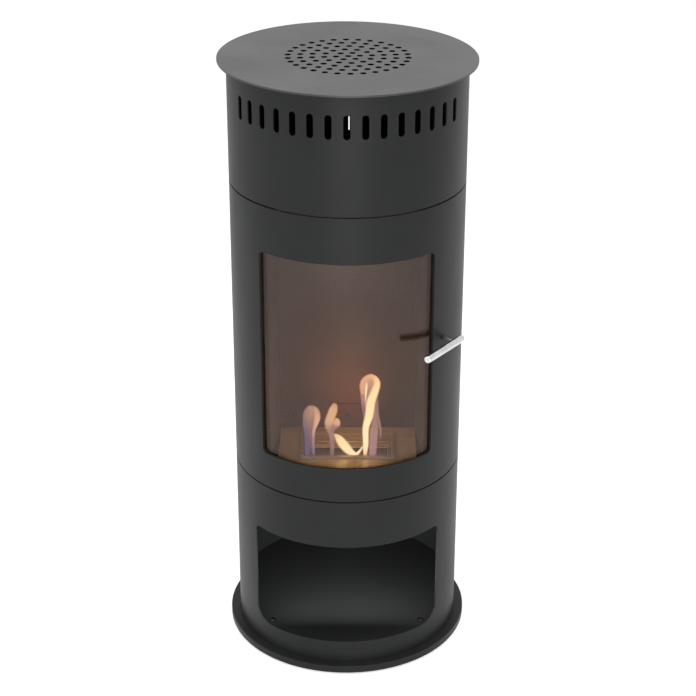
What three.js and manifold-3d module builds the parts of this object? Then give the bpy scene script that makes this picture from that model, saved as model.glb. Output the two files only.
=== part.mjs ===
// Free-standing round bioethanol fireplace: a rolled-sheet column in three sections between a round base
// and a perforated lid. It has a curved glazed door, a burner that hangs in the firebox floor, and an open
// wood shelf.
// Millimetres, +Z up. The origin is on the floor under the middle of the column, and the front faces -Y.
// An azimuth is measured in degrees from the front (-Y) towards the right-hand side (+X).

import * as THREE from 'three';
import { mergeVertices } from 'three/addons/utils/BufferGeometryUtils.js';
import Module from 'manifold-3d';

const wasm = await Module();
wasm.setup();

// ---------------------------------------------------------------- driving dimensions

const fit = 0.3;                    // gap between pieces that touch
const overrun = 2;                  // how far a cutter runs past the face it goes through
const facet = 6;                    // degrees of arc to one flat facet of the column
const rodSides = 16;                // facets around pads, pins and posts
const screwSides = 12;
const smallHoleSides = 8;           // facets around the perforations

const skin = 2;                     // sheet of the body, rolled or flat
const bodyRadius = 187;             // outer face of the column
const seamGap = 2.4;                // shadow gap above and below the door
const buttGap = 2;                  // open joint at the back of each rolled drum

const padHeight = 2;                // rubber pads under the base
const padRadius = 18;
const padInset = 45;                // from the edge of the base to the middle of a pad
const padAzimuths = [45, 135, 225, 315];
const baseOverhang = 15.5;          // how far the base stands out past the column
const baseThickness = 12.7;
const baseChamfer = 1;
const lidOverhang = 14;
const lidThickness = 3;

const lowerDrumHeight = 303.5;
const doorHeight = 484.6;
const upperDrumHeight = 188.5;

const shelfHalfAngle = 53.4;        // wood-store opening in the lower drum
const shelfSill = 38.7;             // its lower edge above the bottom of the drum
const shelfTopMargin = 82.8;        // from its upper edge to the top of the drum
const shelfTopCorner = 8;
const shelfBottomCorner = 25;

const collarHeight = 20;            // folded rims that join the drums to the flat plates
const smokeRimHeight = 12;          // rim of the plate above the firebox
const collarSetback = 8;            // degrees from the edge of the rear shell to the collars inside it

const windowHalfAngle = 46.2;       // window in the door
const windowSill = 60;              // its lower edge above the bottom of the door
const windowTopMargin = 74.8;       // from its upper edge to the top of the door
const windowCorner = 8;
const doorHalfAngle = 85;
const doorSideGap = 0.9;            // degrees between the door and the rear shell
const doorReturnDepth = 10;         // folded edge on the free side of the door
const doorReturnMargin = 8;         // how far it stops short of the ends of the door

const sealThickness = 2;            // rope seal between the door skin and the glass
const sealWidth = 9;
const glassThickness = 4;
const glassOverlap = 13;            // glass past the edge of the window
const clampThickness = 2;           // strips that hold the glass
const clampLap = 8;                 // how far a strip reaches over the glass
const clampFoot = 5;                // how far it stands past the edge of the glass
const clampEndGap = 1;              // between a side strip and the strips above and below it

const hingeInset = 10;              // hinge axis in from the outer face of the door
const hingeLead = 4;                // degrees from the edge of the door to the hinge axis
const hingePinRadius = 4;
const hingePinLength = 14;
const hingeCollarRadius = 7;
const hingePlateThickness = 3;
const hingePlateDepth = 19;
const hingePlateSpan = 13;          // degrees
const hingePlateMargin = 1;         // degrees from the edge of the door to the plate
const hingePlateInset = 0.8;        // how far the plate lies inside the end of the door

const handleAzimuth = 54.5;         // post of the handle
const handleHeight = 255.5;         // above the bottom of the door
const handleStandoff = 25;          // from the door to the middle of the bar
const handleRadius = 6;
const handleLength = 100;
const handleEndPastPost = 15;
const handleEndSteps = 3;           // facets of the round ends
const postRadius = 4;

const screwHeadRadius = 5;
const screwHeadHeight = 3;
const screwShankRadius = 2.5;
const shelfScrewAzimuth = 45.5;
const shelfScrewInset = 8;          // from the rim of the shelf floor to the middle of a screw
const shelfScrewLength = 12;
const panelScrewLength = 7;

const catchLength = 44;             // magnetic catch at the free edge of the door
const catchInset = 3;               // from the inner face of the shell to the catch
const catchDepth = 9;
const catchGap = 0.6;               // between magnet and strike
const strikeThickness = 1;
const magnetThickness = 7;
const catchFootLength = 14;

const slotCount = 15;               // air slots in the upper drum
const slotPitch = 8.45;             // degrees
const slotWidth = 10.5;
const slotHeight = 37.5;
const slotTopMargin = 31;
const slotCornerSteps = 3;          // facets of each quarter of a slot's round end
const cornerSteps = 4;              // facets of the other rounded corners

const lidHoleRings = 5;
const lidRingStep = 18.5;
const lidHoleRadius = 5;
const lidPatternTurn = 8.6;         // degrees, the lid lies turned a little
const lidRingWidth = 16;            // flat-bar ring under the lid
const lidRingThickness = 3;

const linerThickness = 1.5;         // sheet of the firebox lining
const fireboxHalfWidth = 115.3;     // at the flat back panel
const fireboxBack = 62;             // back panel behind the axis
const linerToDoor = 3;              // clearance from the side panels to the glass clamps
const linerPastWindow = 6;          // degrees from the edge of the window to the side panels
const linerFlange = 16;             // folded front edge of the side panels
const chimneyMargin = 3;            // how far the smoke hole lies inside the lining
const ventWidth = 50;               // slit low in the back panel
const ventHeight = 3;
const ventAboveTray = 44;
const ventOffset = -7;
const panelScrewAboveTray = 20;

const trayHeight = 6;               // folded tray that carries the burner
const burnerSheet = 1.2;            // sheet of the burner
const burnerLength = 156;           // flange of the burner
const burnerDepth = 86;
const burnerCentreY = -7;
const burnerFlange = 4;
const burnerHeight = 62;
const mouthLength = 140;            // opening that the flames come out of
const mouthDepth = 27;
const mouthCentreX = -3;
const mouthCentreY = -29.5;
const grilleDrop = 9;               // from the flange down to the perforated plate
const grilleHoleCount = 9;
const grilleHoleRadius = 3;
const woolDrop = 14;                // from the flange down to the top of the wool
const woolClearance = 1;
const railWidth = 2;                // guide rails of the slide
const slideRestGap = 11;            // from the back edge of the mouth to the open slide
const slideDepth = 30;
const slideLip = 5;                 // height of its turned-up front edge
const pullWidth = 3;
const pullHeight = 10;

// ---------------------------------------------------------------- levels and radii that follow

const baseBottom = padHeight + fit;
const lowerBottom = baseBottom + baseThickness + fit;
const lowerTop = lowerBottom + lowerDrumHeight;
const trayBottom = lowerTop + fit;
const doorBottom = lowerTop + seamGap;
const upperBottom = doorBottom + doorHeight + seamGap;

const baseRadius = bodyRadius + baseOverhang;
const lidRadius = bodyRadius + lidOverhang;
const innerRadius = bodyRadius - skin;
const plateRadius = innerRadius - fit;
const collarRadius = plateRadius - skin;

const sealRadius = plateRadius - sealThickness;
const glassOuter = sealRadius - fit;
const glassInner = glassOuter - glassThickness;
const clampOuter = glassInner - fit;
const clampInner = clampOuter - clampThickness;
const linerFrontRadius = clampInner - linerToDoor;

const degrees = Math.PI / 180;
const arcAngle = (length, radius) => length / radius / degrees;
const rearAngle = doorHalfAngle + doorSideGap;
const collarAngle = rearAngle + collarSetback;
const windowHeight = doorHeight - windowSill - windowTopMargin;
const shelfOpeningHeight = lowerDrumHeight - shelfSill - shelfTopMargin;
const glassHalfAngle = windowHalfAngle + arcAngle(glassOverlap, bodyRadius);
const glassHeight = windowHeight + 2 * glassOverlap;
const glassSill = windowSill - glassOverlap;

// ---------------------------------------------------------------- helpers

// The point at an azimuth and a radius, seen from above.
function polar(azimuth, radius) {
  return new THREE.Vector2(radius * Math.sin(azimuth * degrees), -radius * Math.cos(azimuth * degrees));
}

// The same on the flat facets of a circle. All arcs share these facets, so that nested arcs keep their gap.
function onFacet(azimuth, radius) {
  const middle = (Math.floor(azimuth / facet) + 0.5) * facet;
  const apothem = radius * Math.cos((facet / 2) * degrees);
  return polar(azimuth, apothem / Math.cos((azimuth - middle) * degrees));
}

function arcPoints(radius, from, to) {
  const points = [onFacet(from, radius)];
  for (let i = Math.floor(from / facet) + 1; i * facet < to - fit; i++) {
    if (i * facet > from + fit) points.push(polar(i * facet, radius));
  }
  points.push(onFacet(to, radius));
  return points;
}

function wholeCircle(radius) {
  return arcPoints(radius, -180, 180).slice(1);
}

function smallCircle(radius, sides, x = 0, y = 0, turn = 0) {
  const points = [];
  for (let i = 0; i < sides; i++) {
    const angle = (i / sides) * 2 * Math.PI + turn;
    points.push(new THREE.Vector2(x + radius * Math.cos(angle), y + radius * Math.sin(angle)));
  }
  return points;
}

function extrude(outline, height, holes = []) {
  const shape = new THREE.Shape(outline);
  for (const hole of holes) shape.holes.push(new THREE.Path(hole));
  return new THREE.ExtrudeGeometry(shape, { depth: height, bevelEnabled: false });
}

// A curved strip of sheet between two azimuths.
function arcSheet(inner, outer, from, to, height) {
  return extrude([...arcPoints(outer, from, to), ...arcPoints(inner, from, to).reverse()], height);
}

// A sheet rolled into a drum, with its open joint at the back.
function rolledDrum(height) {
  const half = 180 - arcAngle(buttGap / 2, bodyRadius);
  return arcSheet(innerRadius, bodyRadius, -half, half, height);
}

// A round piece from its profile, given as [radius, height] pairs.
function turned(profile) {
  const points = profile.map(([radius, height]) => new THREE.Vector2(radius, height));
  return new THREE.LatheGeometry(points, 360 / facet).rotateX(Math.PI / 2);
}

// A flat round plate whose rim is folded. z = 0 is the face away from the fold, which goes down or up.
function rimmedPlate(rimHeight, direction) {
  const profile = [
    [0, 0],
    [plateRadius, 0],
    [plateRadius, direction * rimHeight],
    [collarRadius, direction * rimHeight],
    [collarRadius, direction * skin],
    [0, direction * skin],
  ];
  return turned(direction > 0 ? profile : profile.reverse());
}

function box(x0, x1, y0, y1, z0, z1) {
  const geometry = new THREE.BoxGeometry(x1 - x0, y1 - y0, z1 - z0);
  return geometry.translate((x0 + x1) / 2, (y0 + y1) / 2, (z0 + z1) / 2);
}

// A box in the burner, given by its size in plan and its two levels.
function burnerBlock(length, depth, z0, z1) {
  const front = burnerCentreY - depth / 2;
  return box(-length / 2, length / 2, front, front + depth, z0, z1);
}

// A vertical cylinder that stands on z = 0.
function rod(radius, height, sides = rodSides) {
  return extrude(smallCircle(radius, sides), height);
}

// A screw whose head stands on z = 0, with its shank below.
function screw(shankLength) {
  const shank = rod(screwShankRadius, shankLength + screwHeadHeight / 2, screwSides);
  return join(rod(screwHeadRadius, screwHeadHeight, screwSides), shank.translate(0, 0, -shankLength));
}

const screwHoleRadius = screwShankRadius + fit;

// A rectangle with rounded corners, centred on x = 0, that starts at y = 0.
function roundedRectangle(width, height, bottomCorner, topCorner, steps = cornerSteps) {
  const points = [];
  const corners = [
    [width / 2 - bottomCorner, bottomCorner, bottomCorner, -90],
    [width / 2 - topCorner, height - topCorner, topCorner, 0],
    [topCorner - width / 2, height - topCorner, topCorner, 90],
    [bottomCorner - width / 2, bottomCorner, bottomCorner, 180],
  ];
  for (const [x, y, radius, start] of corners) {
    for (let i = 0; i <= steps; i++) {
      const angle = (start + (i * 90) / steps) * degrees;
      points.push(new THREE.Vector2(x + radius * Math.cos(angle), y + radius * Math.sin(angle)));
    }
  }
  return points;
}

// The outline of a folded sheet: a path, and the same path moved to its left by the thickness.
function foldedStrip(path, thickness) {
  const normals = path.slice(1).map((end, i) => {
    const along = end.clone().sub(path[i]).normalize();
    return new THREE.Vector2(-along.y, along.x);
  });
  const moved = path.map((point, i) => {
    const before = normals[Math.max(i - 1, 0)];
    const after = normals[Math.min(i, normals.length - 1)];
    const mitre = before.clone().add(after);
    return point.clone().addScaledVector(mitre, thickness / (1 + before.dot(after)));
  });
  return [...path, ...moved.reverse()];
}

// A cutter that runs from the axis out through the front, with its outline in the XZ plane.
function frontCutter(outline, bottom) {
  return extrude(outline, baseRadius).rotateX(Math.PI / 2).translate(0, 0, bottom);
}

function solid(geometry) {
  const bare = new THREE.BufferGeometry();
  bare.setAttribute('position', geometry.getAttribute('position').clone());
  if (geometry.index) bare.setIndex(geometry.index.clone());
  const merged = mergeVertices(bare, 1e-4);
  const mesh = new wasm.Mesh({
    numProp: 3,
    vertProperties: new Float32Array(merged.getAttribute('position').array),
    triVerts: new Uint32Array(merged.index.array),
  });
  return new wasm.Manifold(mesh);
}

function surface(manifold) {
  const mesh = manifold.getMesh();
  const geometry = new THREE.BufferGeometry();
  geometry.setAttribute('position', new THREE.BufferAttribute(new Float32Array(mesh.vertProperties), 3));
  geometry.setIndex(new THREE.BufferAttribute(new Uint32Array(mesh.triVerts), 1));
  geometry.computeVertexNormals();
  return geometry;
}

function join(...geometries) {
  return surface(geometries.map(solid).reduce((whole, part) => whole.add(part)));
}

function cut(geometry, ...cutters) {
  return surface(cutters.map(solid).reduce((whole, part) => whole.subtract(part), solid(geometry)));
}

// ---------------------------------------------------------------- materials

const paint = { color: 0x3c3d3c, roughness: 0.5, metalness: 0.35 };
const lidPaint = { color: 0x4a4b4a, roughness: 0.5, metalness: 0.35 };
const lining = { color: 0x57504a, roughness: 0.45, metalness: 0.5 };
const stainless = { color: 0xb9b8b4, roughness: 0.28, metalness: 1 };
const polished = { color: 0xd9d9d8, roughness: 0.12, metalness: 1 };
const zinc = { color: 0x8f9193, roughness: 0.45, metalness: 0.9 };
const brass = { color: 0xb08d4a, roughness: 0.35, metalness: 1 };
const glazing = { color: 0x2b2623, roughness: 0.05, metalness: 0, transparent: true, opacity: 0.3 };
const rope = { color: 0x1b1a19, roughness: 0.95, metalness: 0 };
const rubber = { color: 0x151515, roughness: 0.85, metalness: 0 };
const ceramic = { color: 0xd8d2c6, roughness: 0.95, metalness: 0 };
const ferrite = { color: 0x26262a, roughness: 0.6, metalness: 0.3 };

function piece(name, geometry, finish, x = 0, y = 0, z = 0) {
  const mesh = new THREE.Mesh(geometry, new THREE.MeshStandardMaterial(finish));
  mesh.name = name;
  mesh.position.set(x, y, z);
  return mesh;
}

function group(z, ...children) {
  const holder = new THREE.Group();
  holder.position.z = z;
  holder.add(...children);
  return holder;
}

// ---------------------------------------------------------------- base

function makeBase() {
  const plate = turned([
    [0, 0],
    [baseRadius, 0],
    [baseRadius, baseThickness - baseChamfer],
    [baseRadius - baseChamfer, baseThickness],
    [0, baseThickness],
  ]);
  const pads = padAzimuths.map((azimuth, i) => {
    const place = polar(azimuth, baseRadius - padInset);
    return piece(`floor_pad_${i + 1}`, rod(padRadius, padHeight), rubber, place.x, place.y);
  });
  return group(0, piece('base_plate', plate, paint, 0, 0, baseBottom), ...pads);
}

// ---------------------------------------------------------------- lower drum and wood shelf

const shelfFloorTop = shelfSill - fit;

function makeLowerShell() {
  const width = 2 * bodyRadius * Math.sin(shelfHalfAngle * degrees);
  const outline = roundedRectangle(width, shelfOpeningHeight, shelfBottomCorner, shelfTopCorner);
  return cut(rolledDrum(lowerDrumHeight), frontCutter(outline, shelfSill));
}

function shelfScrewPlace(side) {
  return polar(side * shelfScrewAzimuth, collarRadius - shelfScrewInset);
}

// A flat plate whose rim is folded down to the base.
function makeShelfFloor() {
  const holes = [-1, 1].map((side) => {
    const place = shelfScrewPlace(side);
    const hole = rod(screwHoleRadius, skin + 2 * overrun, screwSides);
    return hole.translate(place.x, place.y, -skin - overrun);
  });
  return cut(rimmedPlate(shelfFloorTop, -1), ...holes);
}

function makeLowerDrum() {
  const screws = [['left', -1], ['right', 1]].map(([name, side]) => {
    const place = shelfScrewPlace(side);
    return piece(`shelf_screw_${name}`, screw(shelfScrewLength), zinc, place.x, place.y, shelfFloorTop + fit);
  });
  const ceilingBottom = shelfSill + shelfOpeningHeight + fit;
  return group(
    lowerBottom,
    piece('lower_shell', makeLowerShell(), paint),
    piece('shelf_floor', makeShelfFloor(), paint, 0, 0, shelfFloorTop),
    ...screws,
    piece('shelf_ceiling', rimmedPlate(collarHeight, 1), paint, 0, 0, ceilingBottom),
  );
}

// ---------------------------------------------------------------- plates between the sections

const burnerBoxLength = burnerLength - 2 * burnerFlange;
const burnerBoxDepth = burnerDepth - 2 * burnerFlange;

function burnerCutout(z0, z1) {
  return burnerBlock(burnerBoxLength + 2 * fit, burnerBoxDepth + 2 * fit, z0, z1);
}

// A rim that stands inside the rear shell. z = 0 is its lower edge.
function makeCollar() {
  return arcSheet(collarRadius, plateRadius, collarAngle, 360 - collarAngle, collarHeight + skin);
}

// Top of the lower drum. Its rim is folded down inside the drum, and a collar stands up inside the rear
// shell. The burner hangs through the hole.
function makeDivider() {
  const whole = join(rimmedPlate(collarHeight, -1), makeCollar().translate(0, 0, -skin));
  return cut(whole, burnerCutout(-skin - overrun, overrun));
}

// Bottom of the upper drum. The hot air rises through the wide hole.
function makeSmokePlate() {
  const whole = join(rimmedPlate(smokeRimHeight, 1), makeCollar().translate(0, 0, -collarHeight));
  const chimney = extrude(fireboxPlan(chimneyMargin), skin + 2 * overrun);
  return cut(whole, chimney.translate(0, 0, -overrun));
}

// ---------------------------------------------------------------- firebox lining

const linerAzimuth = windowHalfAngle + linerPastWindow;
const linerFront = polar(linerAzimuth, linerFrontRadius);
const fireboxHeight = upperBottom - fit - trayBottom;

// The inside of the firebox seen from above, drawn in by a margin.
function fireboxPlan(margin) {
  const back = fireboxHalfWidth - margin;
  const front = linerFront.x - margin;
  return [
    new THREE.Vector2(-front, linerFront.y),
    new THREE.Vector2(front, linerFront.y),
    new THREE.Vector2(back, fireboxBack - margin),
    new THREE.Vector2(-back, fireboxBack - margin),
  ];
}

function makeSidePanel(side) {
  const path = [
    new THREE.Vector2(fireboxHalfWidth, fireboxBack - fit),
    linerFront,
    polar(linerAzimuth + arcAngle(linerFlange, linerFrontRadius), linerFrontRadius),
  ];
  const outline = foldedStrip(path, linerThickness);
  const turnedOutline = outline.map((point) => new THREE.Vector2(side * point.x, point.y));
  return extrude(turnedOutline, fireboxHeight);
}

function makeBackPanel() {
  const halfWidth = fireboxHalfWidth + linerThickness;
  const back = fireboxBack + linerThickness;
  const sheet = box(-halfWidth, halfWidth, fireboxBack, back, 0, fireboxHeight);
  const ventBottom = trayHeight + ventAboveTray;
  const vent = box(
    ventOffset - ventWidth / 2, ventOffset + ventWidth / 2, fireboxBack - overrun, back + overrun,
    ventBottom, ventBottom + ventHeight,
  );
  const hole = rod(screwHoleRadius, linerThickness + 2 * overrun, screwSides).rotateX(-Math.PI / 2);
  return cut(sheet, vent, hole.translate(0, fireboxBack - overrun, trayHeight + panelScrewAboveTray));
}

function makeFirebox() {
  const panelScrew = screw(panelScrewLength).rotateX(Math.PI / 2);
  const screwLevel = trayHeight + panelScrewAboveTray;
  return group(
    trayBottom,
    piece('firebox_back_panel', makeBackPanel(), lining),
    piece('firebox_left_panel', makeSidePanel(-1), lining),
    piece('firebox_right_panel', makeSidePanel(1), lining),
    piece('back_panel_screw', panelScrew, zinc, 0, fireboxBack - fit, screwLevel),
  );
}

// ---------------------------------------------------------------- burner

const mouthBack = mouthCentreY + mouthDepth / 2;
const slideFront = mouthBack + slideRestGap;

// A shallow tray that lies upside down, with a hole for the burner.
function makeTray() {
  const halfWidth = fireboxHalfWidth - fit;
  const back = fireboxBack - fit;
  const front = -Math.sqrt(linerFrontRadius ** 2 - halfWidth ** 2);
  const outer = box(-halfWidth, halfWidth, front, back, 0, trayHeight);
  const hollow = box(
    skin - halfWidth, halfWidth - skin, front + skin, back - skin, -overrun, trayHeight - skin,
  );
  return cut(outer, hollow, burnerCutout(-overrun, trayHeight + overrun));
}

// Open box with a flange that hangs on the tray. z = 0 is the underside of the flange.
function makeBurnerBox() {
  const flange = burnerBlock(burnerLength, burnerDepth, 0, burnerSheet);
  const walls = burnerBlock(burnerBoxLength, burnerBoxDepth, -burnerHeight, burnerSheet / 2);
  const hollowLength = burnerBoxLength - 2 * burnerSheet;
  const hollowDepth = burnerBoxDepth - 2 * burnerSheet;
  const hollow = burnerBlock(hollowLength, hollowDepth, burnerSheet - burnerHeight, overrun);
  return cut(join(flange, walls), hollow);
}

// Cover plate with the mouth, and a folded guide rail on each side for the slide.
function makeBurnerCover() {
  const mouthLeft = mouthCentreX - mouthLength / 2;
  const mouth = box(
    mouthLeft, mouthLeft + mouthLength, mouthBack - mouthDepth, mouthBack, -overrun, overrun,
  );
  const lipBottom = 2 * (burnerSheet + fit);
  const height = lipBottom + burnerSheet;
  const spaceDepth = burnerDepth + 2 * overrun;
  const slideSpace = burnerBlock(burnerLength - 2 * railWidth, spaceDepth, burnerSheet, lipBottom);
  const openSpace = burnerBlock(burnerLength - 4 * railWidth, spaceDepth, burnerSheet, height + overrun);
  return cut(burnerBlock(burnerLength, burnerDepth, 0, height), slideSpace, openSpace, mouth);
}

// Slide that covers the mouth to tame or put out the flame, drawn here pushed back, with its front edge
// turned up and a pull that runs forward beside the mouth.
function makeSlide() {
  const halfWidth = burnerLength / 2 - railWidth - fit;
  const halfLip = halfWidth - 2 * railWidth;
  const inner = halfLip - pullWidth;
  const pullFront = mouthBack - mouthDepth / 2;
  const armBottom = slideLip - burnerSheet;
  return join(
    box(-halfWidth, halfWidth, slideFront, slideFront + slideDepth, 0, burnerSheet),
    box(-halfLip, halfLip, slideFront, slideFront + burnerSheet, burnerSheet / 2, slideLip),
    box(inner, halfLip, pullFront, slideFront + burnerSheet / 2, armBottom, slideLip),
    box(inner, halfLip, pullFront, pullFront + burnerSheet, armBottom, pullHeight),
  );
}

function makeGrille() {
  const margin = 2 * (burnerSheet + fit);
  const plate = burnerBlock(burnerBoxLength - margin, burnerBoxDepth - margin, 0, burnerSheet);
  const step = mouthLength / grilleHoleCount;
  const firstX = mouthCentreX - mouthLength / 2 + step / 2;
  const holes = [];
  for (let i = 0; i < grilleHoleCount; i++) {
    const hole = rod(grilleHoleRadius, burnerSheet + 2 * overrun, smallHoleSides);
    holes.push(hole.translate(firstX + i * step, mouthCentreY, -overrun));
  }
  return cut(plate, ...holes);
}

function makeWool() {
  const margin = 2 * (burnerSheet + woolClearance);
  const height = burnerHeight - burnerSheet - fit - woolDrop;
  return burnerBlock(burnerBoxLength - margin, burnerBoxDepth - margin, -height, 0);
}

function makeBurner() {
  const flangeBottom = trayHeight + fit;
  const coverBottom = flangeBottom + burnerSheet + fit;
  const slideBottom = coverBottom + burnerSheet + fit;
  return group(
    trayBottom,
    piece('burner_tray', makeTray(), lining),
    piece('burner_box', makeBurnerBox(), stainless, 0, 0, flangeBottom),
    piece('burner_wool', makeWool(), ceramic, 0, 0, flangeBottom - woolDrop),
    piece('burner_grille', makeGrille(), stainless, 0, 0, flangeBottom - grilleDrop),
    piece('burner_cover', makeBurnerCover(), stainless, 0, 0, coverBottom),
    piece('flame_slide', makeSlide(), polished, 0, 0, slideBottom),
  );
}

// ---------------------------------------------------------------- door

const windowWidth = 2 * bodyRadius * Math.sin(windowHalfAngle * degrees);
const windowOutline = roundedRectangle(windowWidth, windowHeight, windowCorner, windowCorner);
const hingeAxis = polar(hingeLead - doorHalfAngle, bodyRadius - hingeInset);

function makeDoorShell() {
  const sheet = arcSheet(innerRadius, bodyRadius, -doorHalfAngle, doorHalfAngle, doorHeight);
  const returnEdge = box(
    -skin, 0, -(innerRadius + skin / 2), -(innerRadius - doorReturnDepth),
    doorReturnMargin, doorHeight - doorReturnMargin,
  );
  returnEdge.rotateZ(doorHalfAngle * degrees);
  const screwHole = rod(screwHoleRadius, baseRadius, screwSides).rotateX(Math.PI / 2);
  screwHole.rotateZ(handleAzimuth * degrees).translate(0, 0, handleHeight);
  return cut(join(sheet, returnEdge), frontCutter(windowOutline, windowSill), screwHole);
}

function makeSeal() {
  const half = windowHalfAngle + arcAngle(sealWidth, bodyRadius);
  const sheet = arcSheet(sealRadius, plateRadius, -half, half, windowHeight + 2 * sealWidth);
  return cut(sheet.translate(0, 0, windowSill - sealWidth), frontCutter(windowOutline, windowSill));
}

function makeGlass() {
  return arcSheet(glassInner, glassOuter, -glassHalfAngle, glassHalfAngle, glassHeight);
}

// The strips lie behind the edges of the glass, with a foot that stands on the door skin beside it.
const clampStart = glassHalfAngle - arcAngle(clampLap, bodyRadius);
const clampEnd = glassHalfAngle + arcAngle(clampFoot, bodyRadius);
const clampWidth = clampLap + clampFoot;

function makeSideClamp(side) {
  const height = glassHeight - 2 * (clampLap + clampEndGap);
  const footStart = clampEnd - arcAngle(clampThickness, bodyRadius);
  const span = (from) => [side * from, side * clampEnd].sort((a, b) => a - b);
  const strip = arcSheet(clampInner, clampOuter, ...span(clampStart), height);
  return join(strip, arcSheet(clampInner, plateRadius, ...span(footStart), height));
}

function makeEdgeClamp(footBottom) {
  const strip = arcSheet(clampInner, clampOuter, -clampStart, clampStart, clampWidth);
  const foot = arcSheet(clampInner, plateRadius, -clampStart, clampStart, clampThickness);
  return join(strip, foot.translate(0, 0, footBottom));
}

// Plate inside the door that turns on a hinge pin.
function makeHingePlate() {
  const from = hingePlateMargin - doorHalfAngle;
  const outer = arcPoints(plateRadius, from, from + hingePlateSpan);
  const inner = arcPoints(plateRadius - hingePlateDepth, from, from + hingePlateSpan);
  const hole = smallCircle(hingePinRadius + fit, rodSides, hingeAxis.x, hingeAxis.y);
  return extrude([...outer, ...inner.reverse()], hingePlateThickness, [hole]);
}

// The collar of the pin is the bearing that the hinge plate rides on. It stands on z = 0 and points up.
function makeHingePin() {
  const collar = rod(hingeCollarRadius, seamGap + hingePlateInset - 2 * fit);
  return join(collar, rod(hingePinRadius, hingePinLength));
}

function makeHandle() {
  const straight = handleLength - 2 * handleRadius;
  const bar = new THREE.CapsuleGeometry(handleRadius, straight, handleEndSteps, rodSides);
  const barX = handleEndPastPost - handleLength / 2;
  const post = rod(postRadius, handleStandoff - handleRadius - 2 * fit).rotateX(Math.PI / 2);
  const seat = 2 * fit;
  const postScrew = screw(skin + seat).rotateX(-Math.PI / 2);
  const handle = group(
    handleHeight,
    piece('handle_bar', bar.rotateZ(Math.PI / 2), polished, barX, -(bodyRadius + handleStandoff)),
    piece('handle_post', post, polished, 0, -(bodyRadius + fit)),
    piece('handle_screw', postScrew, zinc, 0, -(innerRadius - seat)),
  );
  handle.rotation.z = handleAzimuth * degrees;
  return handle;
}

// A block beside the free edge of the door, between two distances from that edge.
function catchBlock(from, to, outer) {
  const inner = plateRadius - catchInset - catchDepth;
  const block = box(from, to, -outer, -inner, 0, catchLength);
  return block.rotateZ(doorHalfAngle * degrees);
}

const catchBottom = handleHeight - catchLength / 2;
const catchOuter = plateRadius - catchInset;
const magnetStart = fit + strikeThickness + catchGap;
const bracketStart = magnetStart + magnetThickness + fit;

function makeDoor() {
  const topClampBottom = glassSill + glassHeight - clampLap;
  const sideClampBottom = glassSill + clampLap + clampEndGap;
  const topPlateBottom = doorHeight - hingePlateInset - hingePlateThickness;
  const strike = catchBlock(fit, fit + strikeThickness, catchOuter);
  return group(
    doorBottom,
    piece('door_shell', makeDoorShell(), paint),
    piece('glass_seal', makeSeal(), rope),
    piece('door_glass', makeGlass(), glazing, 0, 0, glassSill),
    piece('glass_clamp_left', makeSideClamp(-1), zinc, 0, 0, sideClampBottom),
    piece('glass_clamp_right', makeSideClamp(1), zinc, 0, 0, sideClampBottom),
    piece('glass_clamp_bottom', makeEdgeClamp(0), zinc, 0, 0, glassSill - clampFoot),
    piece('glass_clamp_top', makeEdgeClamp(clampWidth - clampThickness), zinc, 0, 0, topClampBottom),
    piece('hinge_plate_bottom', makeHingePlate(), zinc, 0, 0, hingePlateInset),
    piece('hinge_plate_top', makeHingePlate(), zinc, 0, 0, topPlateBottom),
    piece('strike_plate', strike, zinc, 0, 0, catchBottom),
    makeHandle(),
  );
}

// ---------------------------------------------------------------- rear of the middle section

function makeRearSection() {
  const shell = arcSheet(innerRadius, bodyRadius, rearAngle, 360 - rearAngle, doorHeight);
  const magnet = catchBlock(magnetStart, magnetStart + magnetThickness, catchOuter);
  const web = catchBlock(bracketStart, bracketStart + skin, plateRadius - skin / 2);
  const footStart = doorHalfAngle + arcAngle(bracketStart, plateRadius);
  const footEnd = footStart + arcAngle(catchFootLength, plateRadius);
  const foot = arcSheet(collarRadius, plateRadius, footStart, footEnd, catchLength);
  return group(
    doorBottom,
    piece('rear_shell', shell, paint),
    piece('catch_magnet', magnet, ferrite, 0, 0, catchBottom),
    piece('catch_bracket', join(web, foot), zinc, 0, 0, catchBottom),
  );
}

function makeHingePins() {
  const upperPin = makeHingePin().rotateX(Math.PI);
  return [
    piece('hinge_pin_bottom', makeHingePin(), brass, hingeAxis.x, hingeAxis.y, lowerTop + fit),
    piece('hinge_pin_top', upperPin, brass, hingeAxis.x, hingeAxis.y, upperBottom - fit),
  ];
}

// ---------------------------------------------------------------- upper drum and lid

function makeUpperShell() {
  const outline = roundedRectangle(slotWidth, slotHeight, slotWidth / 2, slotWidth / 2, slotCornerSteps);
  const slots = [];
  for (let i = 0; i < slotCount; i++) {
    const azimuth = (i - (slotCount - 1) / 2) * slotPitch;
    const slot = frontCutter(outline, upperDrumHeight - slotTopMargin - slotHeight);
    slots.push(slot.rotateZ(azimuth * degrees));
  }
  return cut(rolledDrum(upperDrumHeight), ...slots);
}

// Flat-bar ring inside the top of the upper drum, which the lid lies on. z = 0 is its top.
function makeLidRing() {
  const inner = plateRadius - lidRingWidth;
  return turned([
    [inner, -lidRingThickness],
    [plateRadius, -lidRingThickness],
    [plateRadius, 0],
    [inner, 0],
    [inner, -lidRingThickness],
  ]);
}

function makeLid() {
  const holes = [smallCircle(lidHoleRadius, smallHoleSides)];
  for (let i = 1; i <= lidHoleRings; i++) {
    for (const centre of smallCircle(i * lidRingStep, 6 * i, 0, 0, lidPatternTurn * degrees)) {
      holes.push(smallCircle(lidHoleRadius, smallHoleSides, centre.x, centre.y));
    }
  }
  return extrude(wholeCircle(lidRadius), lidThickness, holes);
}

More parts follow.
